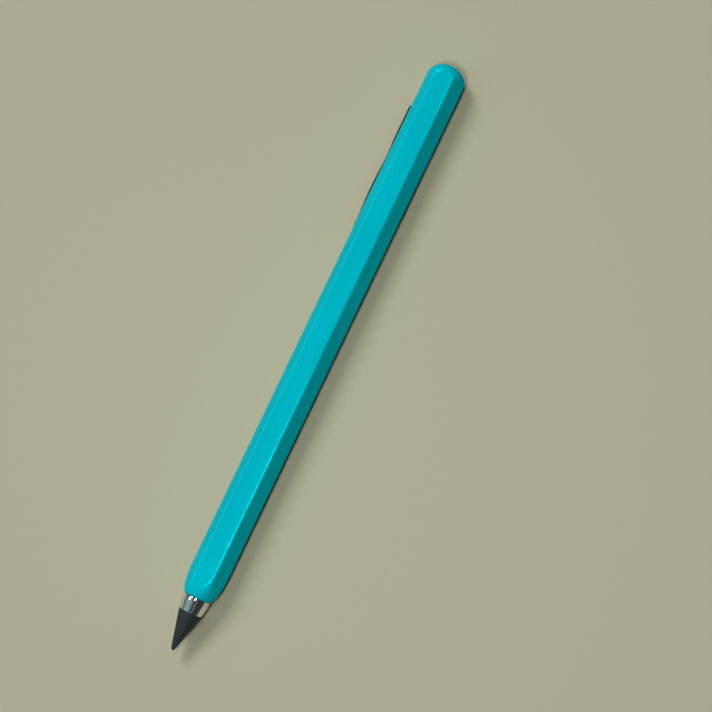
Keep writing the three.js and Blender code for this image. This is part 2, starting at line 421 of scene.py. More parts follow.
class Graph:
    """The node tree of one material or of the world."""

    def __init__(self, tree: bpy.types.NodeTree) -> None:
        """Starts from an empty tree."""
        self.tree = tree
        self.tree.nodes.clear()

    def node(
        self,
        kind: str,
        settings: dict[str, object] | None = None,
        inputs: dict[str | int, object] | None = None,
    ) -> bpy.types.Node:
        """Adds a node.

        Args:
            kind: Blender's type name of the node.
            settings: Properties of the node, set before its inputs.
            inputs: Values or links by the socket's name or number.

        Returns:
            The new node.
        """
        made = self.tree.nodes.new(kind)
        for key, value in (settings or {}).items():
            setattr(made, key, value)
        for key, value in (inputs or {}).items():
            if isinstance(value, Value):
                self.tree.links.new(value.socket, made.inputs[key])
            elif isinstance(value, bpy.types.NodeSocket):
                self.tree.links.new(value, made.inputs[key])
            else:
                made.inputs[key].default_value = value
        return made

    def place(self, scale: tuple[float, float, float] = (1.0, 1.0, 1.0)) -> bpy.types.NodeSocket:
        """Object coordinates, in metres, stretched along the axes.

        Args:
            scale: Factors along X, Y and Z.

        Returns:
            The vector socket.
        """
        coordinates = self.node("ShaderNodeTexCoord").outputs["Object"]
        mapping = self.node("ShaderNodeMapping", {}, {"Vector": coordinates, "Scale": scale})
        return mapping.outputs["Vector"]

    def noise(
        self,
        feature: float,
        detail: float,
        stretch: tuple[float, float, float] = (1.0, 1.0, 1.0),
        roughness: float = 0.5,
    ) -> Value:
        """Noise with blobs of about the given size.

        Args:
            feature: Size of a blob in millimetres.
            detail: Number of finer octaves.
            stretch: Factors on the coordinates along X, Y and Z.
            roughness: Share of the finer octaves.

        Returns:
            The noise from 0 to 1, about 0.5 on average.
        """
        inputs = {
            "Vector": self.place(stretch),
            "Scale": 1.0 / (feature * MM),
            "Detail": detail,
            "Roughness": roughness,
        }
        return Value(self, self.node("ShaderNodeTexNoise", {}, inputs).outputs[0])

    def along(self, axis: str) -> Value:
        """One object coordinate in millimetres, by its name X, Y or Z."""
        split = self.node("ShaderNodeSeparateXYZ", {}, {"Vector": self.place()})
        return Value(self, split.outputs[axis]) * (1.0 / MM)

    def dot(self, vector: bpy.types.NodeSocket, other: tuple[float, float, float]) -> Value:
        """The dot product of a vector socket and a fixed vector."""
        node = self.node("ShaderNodeVectorMath", {"operation": "DOT_PRODUCT"}, {0: vector, 1: other})
        return Value(self, node.outputs["Value"])

    def attribute(self, name: str) -> Value:
        """A number that the mesh stores for each vertex."""
        return Value(self, self.node("ShaderNodeAttribute", {"attribute_name": name}).outputs["Fac"])

    def blend(self, first: object, second: object, share: "Value | float") -> bpy.types.NodeSocket:
        """Mixes two colours.

        Args:
            first: Colour or socket at share 0.
            second: Colour or socket at share 1.
            share: The mixing factor.

        Returns:
            The colour socket.
        """
        inputs = {0: share, 6: rgba(first), 7: rgba(second)}
        return self.node("ShaderNodeMix", {"data_type": "RGBA"}, inputs).outputs[2]

    def bump(self, height: Value, depth: float, strength: float) -> bpy.types.NodeSocket:
        """Turns a height from 0 to 1 into a normal.

        Args:
            height: The height.
            depth: What a height of 1 stands for, in millimetres.
            strength: Strength of the bump.

        Returns:
            The normal socket.
        """
        inputs = {"Height": height, "Distance": depth * MM, "Strength": strength}
        return self.node("ShaderNodeBump", {}, inputs).outputs["Normal"]

    def surface(self, inputs: dict[str | int, object]) -> None:
        """Adds the Principled shader with these inputs and links it to the output."""
        shader = self.node("ShaderNodeBsdfPrincipled", {}, inputs)
        self.node("ShaderNodeOutputMaterial", {}, {"Surface": shader.outputs[0]})


def rgba(colour: object) -> object:
    """A colour of three numbers with full alpha; anything else as it is."""
    return (*colour, 1.0) if isinstance(colour, tuple) and len(colour) == 3 else colour


class Finish:
    """A finish: dresses pieces in one node material."""

    slot: Slot | None = None

    def build(self, graph: Graph) -> None:
        """Adds the finish's nodes to an empty graph.

        Args:
            graph: The material's empty graph.
        """
        raise NotImplementedError

    def dress(self, *pieces: bpy.types.Object) -> None:
        """Gives the pieces this finish, as their only material.

        Args:
            *pieces: The objects to dress.
        """
        material = bpy.data.materials.new(type(self).__name__)
        material.use_nodes = True
        self.build(Graph(material.node_tree))
        for piece in pieces:
            if piece.data.materials:
                piece.material_slots[0].material = material
            else:
                piece.data.materials.append(material)


@dataclass(frozen=True)
class TurquoiseLacquer(Finish):
    """Glossy sprayed lacquer with a faint orange peel, paler along the edges: thinner lacquer there, and a
    painted highlight for the edges' glints.
    """

    colour: Colour = (0.0, 0.51, 0.62)
    # Paler edge colour: thinner lacquer, and a painted highlight for the edges' glints.
    thin: Colour = (0.005, 0.58, 0.68)
    deep: Colour = (0.0, 0.48, 0.585)
    tint: Colour = (0.12, 0.9, 1.0)
    peel_size: float = 0.55
    peel_depth: float = 0.0016

    slot = Slot.LACQUER

    def build(self, graph: Graph) -> None:
        """Colour drifts slowly, the edges are paler as thinner lacquer and a painted highlight, and the
        gloss is broken by the orange peel.

        Args:
            graph: The material's empty graph.
        """
        drift = graph.noise(9.0, 2.0, (0.4, 1.0, 1.0)).ramp(0.35, 0.65)
        body = graph.blend(self.deep, self.colour, drift)
        # Mask of the painted edge highlight and thinner lacquer along the long edges, broken up by noise.
        edge = graph.attribute("edge_wear_and_glint") * (0.6 + graph.noise(1.6, 3.0) * 0.6)
        peel = graph.noise(self.peel_size, 1.0)
        smear = graph.noise(5.0, 3.0, (0.5, 1.0, 1.0)).ramp(0.3, 0.75)
        graph.surface(
            {
                "Base Color": graph.blend(body, self.thin, edge),
                "Metallic": 0.12,
                "Roughness": 0.13 + smear * 0.05 + edge * 0.03,
                "Specular IOR Level": 0.005,
                "Specular Tint": rgba(self.tint),
                "Normal": graph.bump(peel, self.peel_depth, 0.6),
            }
        )


@dataclass(frozen=True)
class ChromePlate(Finish):
    """Polished chrome with faint turning marks and a little haze."""

    colour: Colour = (0.80, 0.81, 0.82)
    haze: Colour = (0.68, 0.69, 0.70)

    slot = Slot.CHROME

    def build(self, graph: Graph) -> None:
        """Fine rings run round the axis, and a slow haze dulls the polish in places.

        Args:
            graph: The material's empty graph.
        """
        rings = graph.noise(0.07, 2.0, (1.0, 0.02, 0.02))
        smear = graph.noise(1.4, 3.0).ramp(0.4, 0.8)
        graph.surface(
            {
                "Base Color": graph.blend(self.colour, self.haze, smear),
                "Metallic": 1.0,
                "Roughness": 0.04 + smear * 0.03 + rings * 0.02,
                "Normal": graph.bump(rings, 0.0006, 0.5),
            }
        )


@dataclass(frozen=True)
class GraphiteComposite(Finish):
    """Near-black sintered graphite with turning marks, a fine grain and a rubbed point."""

    tip_x: float
    colour: Colour = (0.018, 0.026, 0.028)
    grain: Colour = (0.045, 0.058, 0.062)
    rubbed: Colour = (0.055, 0.062, 0.066)
    rub_ends: tuple[float, float] = (0.3, 1.5)

    slot = Slot.GRAPHITE

    def build(self, graph: Graph) -> None:
        """Speckles of bright grain lie on turning marks, and the point is rubbed smoother.

        Args:
            graph: The material's empty graph.
        """
        speckle = graph.noise(0.09, 3.0, roughness=0.65).ramp(0.55, 0.75)
        patch = graph.noise(0.9, 3.0).ramp(0.35, 0.7)
        rings = graph.noise(0.16, 2.0, (1.0, 0.04, 0.04))
        point = 1.0 - (graph.along("X") - self.tip_x).ramp(*self.rub_ends)
        body = graph.blend(self.colour, self.grain, speckle * 0.55 + patch * 0.2)
        graph.surface(
            {
                "Base Color": graph.blend(body, self.rubbed, point * 0.5),
                "Metallic": 0.1,
                "Roughness": 0.62 - speckle * 0.14 - point * 0.16,
                "Specular IOR Level": 0.35,
                "Normal": graph.bump(rings * 0.7 + speckle * 0.3, 0.006, 0.5),
            }
        )


@dataclass(frozen=True)
class BlackSpringSteel(Finish):
    """Spring steel under a thin satin black coat that is rubbed along the edges."""

    colour: Colour = (0.006, 0.007, 0.0075)
    worn: Colour = (0.035, 0.037, 0.039)

    slot = Slot.SPRING_STEEL

    def build(self, graph: Graph) -> None:
        """The coat has a fine grain, and the edges show a little more of the steel.

        Args:
            graph: The material's empty graph.
        """
        grain = graph.noise(0.12, 2.0)
        patch = graph.noise(2.2, 3.0).ramp(0.35, 0.7)
        edge = graph.attribute("edge_wear_and_glint") * graph.noise(0.7, 3.0).ramp(0.35, 0.7)
        graph.surface(
            {
                "Base Color": graph.blend(self.colour, self.worn, edge * 0.7),
                "Metallic": 0.05 + edge * 0.25,
                "Roughness": 0.42 + patch * 0.08 - edge * 0.06,
                "Specular IOR Level": 0.3,
                "Normal": graph.bump(grain, 0.0025, 0.5),
            }
        )


@dataclass(frozen=True)
class TurnedBrass(Finish):
    """Turned brass with fine tool marks and a slight tarnish."""

    colour: Colour = (0.58, 0.42, 0.18)
    tarnish: Colour = (0.36, 0.24, 0.1)

    slot = Slot.BRASS

    def build(self, graph: Graph) -> None:
        """Tool marks run round the axis, and a slow noise darkens the brass.

        Args:
            graph: The material's empty graph.
        """
        rings = graph.noise(0.1, 2.0, (1.0, 0.03, 0.03))
        stain = graph.noise(1.5, 3.0).ramp(0.4, 0.75)
        graph.surface(
            {
                "Base Color": graph.blend(self.colour, self.tarnish, stain * 0.6),
                "Metallic": 1.0,
                "Roughness": 0.26 + stain * 0.14 + rings * 0.05,
                "Normal": graph.bump(rings, 0.002, 0.5),
            }
        )


@dataclass(frozen=True)
class BlackRubber(Finish):
    """Dull black rubber with a fine bloom."""

    colour: Colour = (0.014, 0.014, 0.014)
    bloom: Colour = (0.035, 0.035, 0.034)

    slot = Slot.RUBBER

    def build(self, graph: Graph) -> None:
        """A faint bloom lies in patches over a fine moulded grain.

        Args:
            graph: The material's empty graph.
        """
        grain = graph.noise(0.08, 2.0)
        bloom = graph.noise(0.6, 3.0).ramp(0.45, 0.8)
        graph.surface(
            {
                "Base Color": graph.blend(self.colour, self.bloom, bloom),
                "Roughness": 0.66 + bloom * 0.15,
                "Specular IOR Level": 0.35,
                "Normal": graph.bump(grain, 0.004, 0.6),
            }
        )


@dataclass(frozen=True)
class NaturalNylon(Finish):
    """Uncoloured moulded nylon."""

    colour: Colour = (0.70, 0.68, 0.60)
    shade: Colour = (0.60, 0.57, 0.48)

    slot = Slot.NYLON

    def build(self, graph: Graph) -> None:
        """The colour clouds slowly over a fine moulded grain.

        Args:
            graph: The material's empty graph.
        """
        cloud = graph.noise(2.0, 3.0).ramp(0.35, 0.7)
        grain = graph.noise(0.15, 2.0)
        graph.surface(
            {
                "Base Color": graph.blend(self.colour, self.shade, cloud),
                "Roughness": 0.48 + cloud * 0.1,
                "Subsurface Weight": 0.1,
                "Subsurface Radius": (0.001, 0.0009, 0.0007),
                "Normal": graph.bump(grain, 0.004, 0.5),
            }
        )


@dataclass(frozen=True)
class PaleFloor(Finish):
    """A plain pale matt floor."""

    colour: Colour = (0.445, 0.425, 0.295)

    def build(self, graph: Graph) -> None:
        """One plain colour, matt all over."""
        graph.surface({"Base Color": rgba(self.colour), "Roughness": 0.75, "Specular IOR Level": 0.2})


# Pieces of the pencil


@dataclass
class Thread:
    """The right-handed thread that the nib unit's stem and the nose insert share."""

    radius: float = 2.0
    depth: float = 0.43
    pitch: float = 0.7
    root_share: float = 0.25
    crest_share: float = 0.125
    spare_turns: int = 3
    easing: float = 0.6

    def height(self, x: np.ndarray, angle: np.ndarray, start_x: float) -> np.ndarray:
        """Share of the thread's depth that stands at a place, from 0 at the root to 1 at the crest.

        The phase is (x - start) / pitch - angle / full turn, without its whole turns. The
        height rises over one flank, stays at the crest and falls over the other flank, and is
        eased in part by t * t * (3 - 2 * t) to round the root and the crest.

        Args:
            x: Places along the axis.
            angle: Angles from +Y towards +Z.
            start_x: Where the thread starts at angle 0.

        Returns:
            The height at each place.
        """
        phase = ((x - start_x) / self.pitch - angle / (2 * np.pi)) % 1.0
        flank = (1 - self.root_share - self.crest_share) / 2
        rising = (phase - self.root_share) / flank
        falling = (1 - phase) / flank
        share = np.clip(np.minimum(rising, falling), 0.0, 1.0)
        return (1 - self.easing) * share + self.easing * share * share * (3 - 2 * share)

    def surface(
        self, x: np.ndarray, angle: np.ndarray, insert_front_x: float, clearance: float
    ) -> np.ndarray:
        """Radius of the thread's surface: the root's radius plus the depth times the height.

        Args:
            x: Places along the axis.
            angle: Angles from +Y towards +Z.
            insert_front_x: Front face of the nose insert, from which the helix is counted.
            clearance: Added all round for the insert's thread.

        Returns:
            The radius at each place.
        """
        start_x = insert_front_x - self.spare_turns * self.pitch
        root = self.radius + clearance - self.depth
        return root + self.depth * self.height(x, angle, start_x)


@dataclass
class Barrel:
    """The hexagonal barrel with its turned nose, its domed end, its bore and the clip's slot."""

    layout: Layout
    edge_radius: float = 0.6
    dome_depth: float = 3.8
    dome_exponent: float = 2.0
    nose_depth: float = 6.4
    nose_exponent: float = 1.65
    nose_end_radius: float = 3.35
    mouth_radius: float = 2.92
    bore_radius: float = 2.6
    bore_end_round: float = 1.2
    end_wall: float = 2.5
    lip_radius: float = 0.1
    crease_width: float = 0.26
    crease_end_width: float = 0.002
    end_overlap: float = 0.01
    floor_hole_radius: float = 0.25
    slot_length: float = 0.9
    slot_width: float = 2.3
    slot_shares: tuple[float, ...] = (0.0, 0.33, 0.67)
    border_inset: float = 0.08
    leg_inset: float = 0.25
    # Edge mask for the lacquer's painted edge highlight and thinner lacquer: where it starts to fade, in
    # radians from the crest, and its reach, in degrees.
    edge_glint_start: float = 0.01
    edge_glint_reach: float = 3.6
    clip_facet: int = 5
    facets: int = 6
    edge_steps: int = 10
    nose_rows: int = 72
    dome_rows: int = 56
    bore_rows: int = 60
    slot_rows: int = 3
    slot_side_columns: int = 3
    tail_rows: int = 8
    body_row_length: float = 1.2

    def flat_half_width(self) -> float:
        """Half the width of a facet's flat, between the rounded edges."""
        return (self.layout.half_flats - self.edge_radius) * math.tan(math.pi / self.facets)

    def facet_angles(self) -> np.ndarray:
        """Polar angles of one facet's columns, from its flat's first border to its edge's last point.

        The flat's points are spaced across it, with two at the borders of the clip's slot, and
        the rounded edge's are spaced evenly in its arc.

        Returns:
            Angles from the facet's middle, in radians.
        """
        border = self.flat_half_width()
        side = self.slot_width / 2
        within = [share * side for share in self.slot_shares]
        half = np.array([*within, side, (side + border) / 2, border - self.border_inset, border])
        across = np.concatenate([-half[:0:-1], half])
        flat = np.arctan2(across, self.layout.half_flats)
        half_step = math.pi / self.facets
        centre = (self.layout.half_flats - self.edge_radius) / math.cos(half_step)
        swing = np.linspace(0.0, 2 * half_step, self.edge_steps + 1)[1:-1]
        along = centre * math.cos(half_step) + self.edge_radius * np.cos(swing)
        beside = centre * math.sin(half_step) + self.edge_radius * np.sin(swing)
        return np.concatenate([flat, np.arctan2(beside, along)])

    def columns(self) -> np.ndarray:
        """Polar angles of every column, facet by facet, the first facet being the upper +Y one."""
        middles = (np.arange(self.facets) + 0.5) * 2 * np.pi / self.facets
        return (middles[:, None] + self.facet_angles()[None, :]).ravel()

    def bar_radius(self, angle: np.ndarray) -> np.ndarray:
        """Polar radius of the hexagonal bar.

        It is apothem / cos(t) on a flat, and the far crossing with the edge's circle,
        c * cos(d) + sqrt(r * r - c * c * sin(d) ** 2), on a rounded edge.

        Args:
            angle: Polar angles.

        Returns:
            The radius at each angle.
        """
        step = 2 * np.pi / self.facets
        from_middle = np.abs((angle % step) - step / 2)
        flat = self.layout.half_flats / np.cos(from_middle)
        centre = (self.layout.half_flats - self.edge_radius) / math.cos(step / 2)
        swing = step / 2 - from_middle
        inside = np.maximum(self.edge_radius**2 - (centre * np.sin(swing)) ** 2, 0.0)
        rounded = centre * np.cos(swing) + np.sqrt(inside)
        border = math.atan2(self.flat_half_width(), self.layout.half_flats)
        return np.where(from_middle <= border, flat, rounded)

    def rounded_end(
        self, depth: float, end_radius: float, exponent: float, rows: int
    ) -> tuple[np.ndarray, np.ndarray]:
        """A quarter superellipse from the end's radius to the bar's corners.

        The distance is depth * (1 - cos(a) ** (2 / p)), and the radius grows with
        sin(a) ** (2 / p).

        Args:
            depth: Length of the rounding along the axis.
            end_radius: Radius at its end.
            exponent: The superellipse's exponent p.
            rows: Number of steps.

        Returns:
            Distances from the end and radii, from the end inwards.
        """
        angle = np.linspace(0.0, np.pi / 2, rows + 1)
        power = 2 / exponent
        along = depth * (1 - np.cos(angle) ** power)
        full = self.layout.corner_radius + self.end_overlap
        return along, end_radius + (full - end_radius) * np.sin(angle) ** power

    def end_rows(self, along: np.ndarray, radius: np.ndarray, depth: float, angle: np.ndarray) -> np.ndarray:
        """Radii where a turned end meets the bar, with the crease between them rounded.

        Args:
            along: Distances from the end.
            radius: The turned end's radii there.
            depth: Length of the turned end.
            angle: Polar angles of the columns.

        Returns:
            Radii shaped (rows, columns).
        """
        width = self.crease_width * (1.0 - (along / depth) ** 4) + self.crease_end_width
        bar = self.bar_radius(angle)[None, :]
        return smooth_minimum(bar, radius[:, None], width[:, None])

    def inner_angle(self, angle: np.ndarray) -> np.ndarray:
        """Angles of the bore's columns, drawn apart at the slot so that its sides stay parallel.

        Args:
            angle: Polar angles of the outer columns.

        Returns:
            Polar angles of the inner columns.
        """
        step = 2 * math.pi / self.facets
        middle = (self.clip_facet + 0.5) * step
        side = self.slot_width / 2
        outer = math.atan2(side, self.layout.half_flats)
        inner = math.asin(side / self.bore_radius)
        across = self.layout.half_flats * np.tan(np.clip(angle - middle, -outer, outer))
        within = np.arcsin(across / self.bore_radius)
        borders = [-step / 2, -outer, outer, step / 2]
        drawn = [-step / 2, -inner, inner, step / 2]
        beyond = np.interp(angle - middle, borders, drawn)
        on_facet = np.abs(angle - middle) <= step / 2
        warped = middle + np.where(np.abs(angle - middle) <= outer, within, beyond)
        return np.where(on_facet, warped, angle)

    def slot_ends(self) -> tuple[float, float]:
        """The slot's two ends along the axis."""
        middle = self.layout.clip_root_x - self.leg_inset
        return middle - self.slot_length / 2, middle + self.slot_length / 2

    def bore_profile(self) -> np.ndarray:
        """The bore from its floor to the mouth's lip, with a step behind the insert.

        Returns:
            Places along the axis and radii, shaped (count, 2).
        """
        floor_x = self.layout.dome_x - self.end_wall
        slot_start, slot_end = self.slot_ends()
        step_x = self.layout.insert_back_x
        bore, mouth = self.bore_radius, self.mouth_radius
        round_centre = (floor_x - self.bore_end_round, bore - self.bore_end_round)
        lip_centre = (self.layout.nose_x + self.lip_radius, mouth + self.lip_radius)
        wall = polyline(
            (slot_end + 3.0, bore, 3),
            (slot_end, bore, self.slot_rows),
            (slot_start, bore, self.bore_rows),
            (step_x, bore, 1),
            (step_x, mouth, 12),
            (lip_centre[0], mouth, 0),
        )
        return np.concatenate(
            [
                span((floor_x, self.floor_hole_radius), (floor_x, round_centre[1]), 3),
                arc(round_centre, self.bore_end_round, 0.0, 90.0, 8),
                wall,
                arc(lip_centre, self.lip_radius, 270.0, 180.0, 5),
            ]
        )

    def skin(self) -> tuple[Skin, slice, slice]:
        """The whole wall as one closed surface, from the bore's floor out over the nose to the dome.

        Returns:
            The skin, and the rows that the slot takes inside and outside.
        """
        layout = self.layout
        angle = self.columns()
        slot_start, slot_end = self.slot_ends()
        bore = self.bore_profile()
        inner_first = int(np.argmin(np.abs(bore[:, 0] - slot_end)))
        nose_along, nose_radius = self.rounded_end(
            self.nose_depth, self.nose_end_radius, self.nose_exponent, self.nose_rows
        )
        dome_along, dome_radius = self.rounded_end(self.dome_depth, 0.0, self.dome_exponent, self.dome_rows)
        nose = self.end_rows(nose_along, nose_radius, self.nose_depth, angle)
        dome = self.end_rows(dome_along, dome_radius, self.dome_depth, angle)[:0:-1]
        nose_end = layout.nose_x + self.nose_depth
        dome_start = layout.dome_x - self.dome_depth
        body_steps = int((slot_start - nose_end) / self.body_row_length)
        body_x = np.concatenate(
            [
                np.linspace(nose_end, slot_start, body_steps)[1:],
                np.linspace(slot_start, slot_end, self.slot_rows + 1)[1:],
                np.linspace(slot_end, dome_start, self.tail_rows)[1:-1],
            ]
        )
        body = np.broadcast_to(self.bar_radius(angle), (len(body_x), len(angle)))
        bore_radius = np.broadcast_to(bore[:, 1:], (len(bore), len(angle)))
        dome_x = layout.dome_x - dome_along[:0:-1]
        x = np.concatenate([bore[:, 0], layout.nose_x + nose_along, body_x, dome_x])
        radius = np.concatenate([bore_radius, nose, body, dome])
        inner = np.broadcast_to(self.inner_angle(angle), (len(bore), len(angle)))
        outer = np.broadcast_to(angle, (len(x) - len(bore), len(angle)))
        skin = turned_skin(x, radius, np.concatenate([inner, outer]), layout.axis_z)
        outer_first = len(bore) + len(nose_along) + body_steps - 2
        inner_rows = slice(inner_first, inner_first + self.slot_rows)
        return skin, inner_rows, slice(outer_first, outer_first + self.slot_rows)

    def slot_columns(self) -> slice:
        """The columns that the slot takes: those between its two borders on the clip's facet."""
        first = self.clip_facet * len(self.facet_angles()) + self.slot_side_columns
        return slice(first, first + 2 * len(self.slot_shares))

    def build(self) -> bpy.types.Object:
        """Makes the barrel's mesh, opens the slot and closes its four walls.

        Returns:
            The barrel's object.
        """
        skin, inner_rows, outer_rows = self.skin()
        quads, triangles = skin.faces()
        columns = self.slot_columns()
        keep = np.ones(quads.shape[:2], bool)
        keep[inner_rows, columns] = False
        keep[outer_rows, columns] = False
        index = np.arange(skin.points[..., 0].size).reshape(skin.points.shape[:2])
        inside = self.rim(index, inner_rows, columns, flip=True)
        outside = self.rim(index, outer_rows, columns, flip=False)
        walls = np.stack([outside, np.roll(outside, -1), np.roll(inside, -1), inside], axis=-1)
        faces = quads[keep].tolist() + triangles.tolist() + walls[:, ::-1].tolist()
        made = mesh_piece("lacquered_barrel", skin.vertices(), faces, 40.0)
        # Edge mask on which the lacquer paints its paler edges: thinner lacquer and a painted highlight.
        set_attribute(made, "edge_wear_and_glint", self.edge_wear_and_glint(len(skin.points)))
        return made

    @staticmethod
    def rim(index: np.ndarray, rows: slice, columns: slice, flip: bool) -> np.ndarray:
        """The vertices round a window in the grid, in the same order seen from outside the barrel.

        Args:
            index: Vertex numbers of the grid.
            rows: Rows of faces that the window takes.
            columns: Columns of faces that it takes.
            flip: True where the rows run towards -X, as they do inside.

        Returns:
            The rim's vertex numbers, once round.
        """
        block = index[rows.start : rows.stop + 1, columns.start : columns.stop + 1]
        if flip:
            block = block[::-1]
        return np.concatenate([block[0, :-1], block[:-1, -1], block[-1, :0:-1], block[:0:-1, 0]])

    def edge_wear_and_glint(self, row_count: int) -> np.ndarray:
        """How near a point lies to the crest of a long edge, outside only, from 0 to 1; the lacquer paints
        it paler, as thinner lacquer and a painted highlight.

        Args:
            row_count: Number of rows of the barrel's surface.

        Returns:
            One value per grid point.
        """
        step = 2 * np.pi / self.facets
        angle = self.columns()
        from_edge = np.abs(((angle + step / 2) % step) - step / 2)
        crest = 1.0 - smooth_step(from_edge, self.edge_glint_start, math.radians(self.edge_glint_reach))
        outside = (np.arange(row_count) >= len(self.bore_profile())).astype(float)
        return crest[None, :] * outside[:, None]


@dataclass
class NibUnit:
    """The chrome collar with its threaded stem, and the writing cone pressed into it."""

    layout: Layout
    thread: Thread
    front_radius: float = 2.9
    bevel: float = 0.12
    swell_run: float = 1.1
    swell_slopes: tuple[float, float] = (8.0, -4.0)
    shoulder_gap: float = 0.1
    land_start: float = 0.1
    land_rise: float = 0.012
    face_inset: float = 0.1
    hole_radius: float = 0.2
    tip_radius: float = 0.5
    tip_start_angle: float = 176.0
    base_round: float = 0.05
    base_drop: float = 1.35
    tenon_radius: float = 1.3
    tenon_length: float = 2.0
    socket_radius: float = 1.32
    socket_depth: float = 2.1
    neck_radius: float = 1.45
    neck_length: float = 1.1
    neck_fillet: float = 0.12
    stem_chamfer: float = 0.4
    columns: int = 144
    land_rows: int = 24
    swell_points: int = 25
    cone_rows: int = 80
    rows_per_pitch: int = 18

    def collar_profile(self) -> np.ndarray:
        """The collar from the socket's floor round its outside to the neck.

        Returns:
            Places along the axis and radii, shaped (count, 2).
        """
        front = self.layout.cone_base_x
        back = self.layout.nose_x - self.shoulder_gap
        back_radius = self.layout.collar_back_radius
        floor_x = front + self.socket_depth
        fillet_centre = (back + self.neck_fillet, self.neck_radius + self.neck_fillet)
        front_centre = (front + self.bevel, self.front_radius - self.bevel)
        swell = self.swell(back - self.bevel, back_radius)
        back_centre = (back - self.bevel, swell[-1, 1] - self.bevel)
        socket = polyline(
            (floor_x, self.hole_radius, 3),
            (floor_x, self.socket_radius, 4),
            (front, self.socket_radius, 4),
            (front, front_centre[1], 0),
        )
        land = (front_centre[0] + self.land_start, self.front_radius + self.land_rise)
        return np.concatenate(
            [
                socket,
                arc(front_centre, self.bevel, 180.0, 90.0, 6),
                span(land, swell[0], self.land_rows),
                swell[:-1],
                arc(back_centre, self.bevel, 90.0, 0.0, 6),
                span((back, back_centre[1] - self.face_inset), (back, fillet_centre[1]), 4),
                arc(fillet_centre, self.neck_fillet, 180.0, 270.0, 5),
            ]
        )

    def swell(self, end_x: float, largest: float) -> np.ndarray:
        """The collar's last stretch, whose slope turns evenly from rising to falling.

        The radius is the running sum of the slope, shifted so that its largest value is given.

        Args:
            end_x: Where the stretch ends.
            largest: Its largest radius.

        Returns:
            Points shaped (count, 2).
        """
        x = np.linspace(end_x - self.swell_run, end_x, self.swell_points)
        slope = np.tan(np.radians(np.linspace(*self.swell_slopes, self.swell_points)))
        rise = np.concatenate([[0.0], np.cumsum((slope[1:] + slope[:-1]) / 2 * np.diff(x))])
        return np.stack([x, largest - rise.max() + rise], axis=-1)

    def stem_rows(self, angle: np.ndarray) -> tuple[np.ndarray, np.ndarray]:
        """The neck and the threaded stem: the thread's surface, cut back to a turned envelope.

        The envelope is the neck's radius up to the thread's start, rises by the chamfer there,
        and falls by the chamfer at the stem's end.

        Args:
            angle: Polar angles of the columns.

        Returns:
            Places along the axis and radii shaped (rows, columns).
        """
        start = self.layout.nose_x - self.shoulder_gap + self.neck_fillet
        end = self.layout.stem_end_x
        thread_start = self.layout.nose_x - self.shoulder_gap + self.neck_length
        step = self.thread.pitch / self.rows_per_pitch
        x = np.linspace(start + step, end, int((end - start) / step))
        rise = (self.thread.radius - self.neck_radius) / self.stem_chamfer
        lead_in = self.neck_radius + np.maximum(x - thread_start, 0.0) * rise
        lead_out = self.thread.radius - np.maximum(x - (end - self.stem_chamfer), 0.0)
        envelope = np.minimum(lead_in, lead_out)[:, None]
        surface = self.thread.surface(x[:, None], angle[None, :], self.layout.insert_front_x, 0.0)
        return x, np.minimum(surface, envelope)

    def build_collar(self) -> bpy.types.Object:
        """Makes the collar and its stem as one turned and threaded surface.

        Returns:
            The collar's object.
        """
        angle = full_turn(self.columns)
        collar = self.collar_profile()
        x, stem = self.stem_rows(angle)
        radius = np.concatenate([np.broadcast_to(collar[:, 1:], (len(collar), len(angle))), stem])
        skin = turned_skin(np.concatenate([collar[:, 0], x]), radius, angle, self.layout.axis_z)
        return skin_piece("chrome_collar", skin, 30.0)

    def cone_half_angle(self) -> float:
        """The half angle at which a straight side from the base's edge touches the point's ball.

        Returns:
            The angle in radians.
        """
        run = self.layout.cone_base_x - self.layout.tip_x - self.tip_radius
        reach = math.hypot(run, self.front_radius)
        return math.atan2(self.front_radius, run) - math.asin(self.tip_radius / reach)

    def build_cone(self) -> bpy.types.Object:
        """Makes the cone: a ball-rounded point, a straight side, a softened base edge and a tenon.

        Returns:
            The cone's object.
        """
        half_angle = math.degrees(self.cone_half_angle())
        tip, base = self.layout.tip_x, self.layout.cone_base_x
        side_angle = 90.0 + half_angle
        ball = arc((tip + self.tip_radius, 0.0), self.tip_radius, self.tip_start_angle, side_angle, 14)
        edge_centre = (base - self.base_round, self.front_radius - self.base_drop * self.base_round)
        edge = arc(edge_centre, self.base_round, side_angle, 0.0, 5)
        tenon_end = base + self.tenon_length
        tenon = polyline(
            (base, edge[-1][1] - self.face_inset, 4),
            (base, self.tenon_radius, 4),
            (tenon_end, self.tenon_radius, 3),
            (tenon_end, self.hole_radius, 0),
        )
        profile = np.concatenate([ball[:-1], span(ball[-1], edge[0], self.cone_rows), edge, tenon])
        skin = turned_skin(profile[:, 0], profile[:, 1], full_turn(self.columns), self.layout.axis_z)
        skin.start_pole[0] = tip
        return skin_piece("graphite_cone", skin, 30.0)


